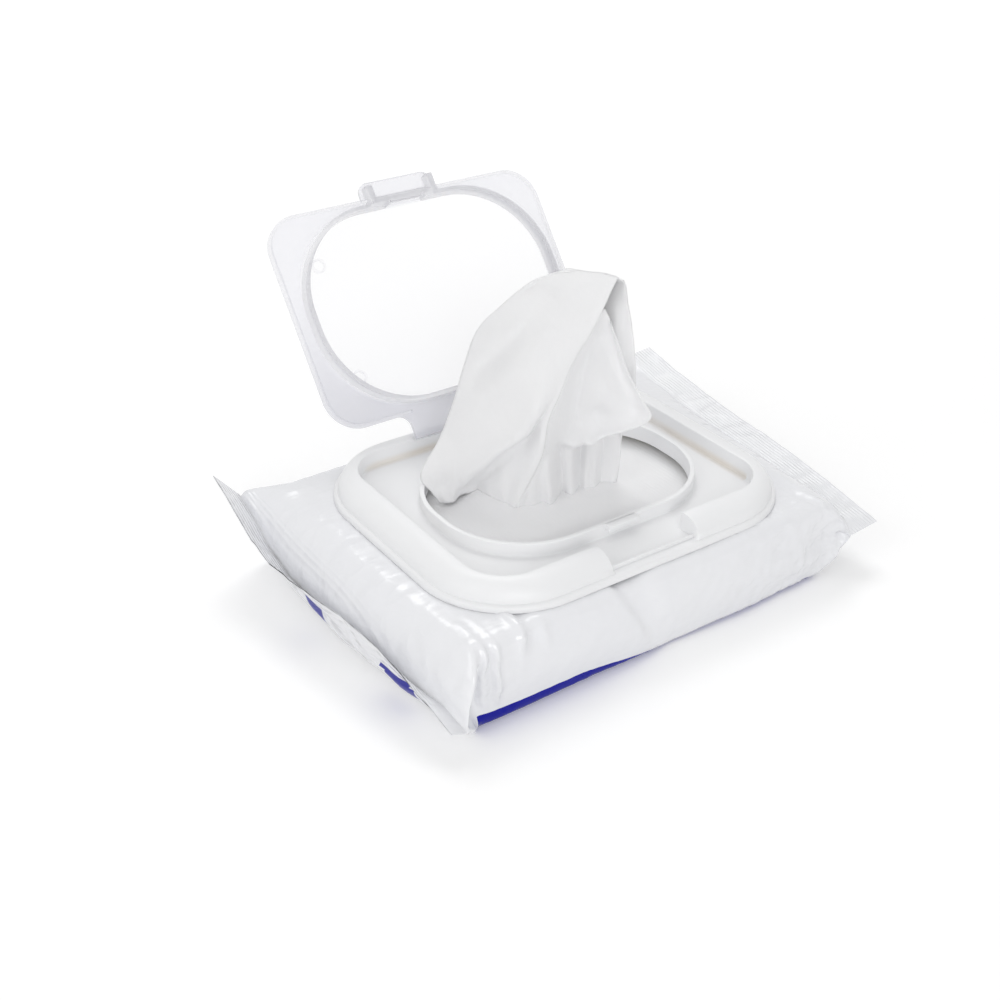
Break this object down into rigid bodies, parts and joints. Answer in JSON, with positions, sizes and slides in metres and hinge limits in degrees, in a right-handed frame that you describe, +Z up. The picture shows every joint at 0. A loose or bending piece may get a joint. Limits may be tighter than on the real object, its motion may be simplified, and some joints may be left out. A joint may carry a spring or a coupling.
{
  "type": "wet wipes packet",
  "caption": "Flow-wrapped packet of wet wipes lying flat, with a hinged flip-top dispenser standing open and a wipe pulled up.",
  "frame": {"origin": "on the surface the packet lies on, under the middle of the whole object's box", "axes": "+X along the packet towards its right end seal, +Y from the latch side towards the lid's hinge, +Z up"},
  "size_m": [0.144, 0.1264, 0.0859],
  "materials": {
    "film": "thin glossy white film, softly crinkled",
    "wipe": "matt white nonwoven cloth, damp",
    "adhesive": "off-white foam adhesive",
    "base_plastic": "milky white moulded plastic, satin",
    "lid_plastic": "frosted translucent moulded plastic"
  },
  "bodies": {
    "packet": {"film_pouch": "film", "wipe_stack": "wipe", "pulled_wipe": "wipe", "adhesive_pad": "adhesive", "dispenser_base": "base_plastic"},
    "lid": {"lid": "lid_plastic"}
  },
  "joints": [
    {"name": "lid_hinge", "type": "hinge", "parent": "packet", "child": "lid", "pos_m": [0, 0.01985, 0.0302], "axis": [1, 0, 0], "range_deg": [-15, 128], "deforming": ["pulled_wipe"]}
  ]
}
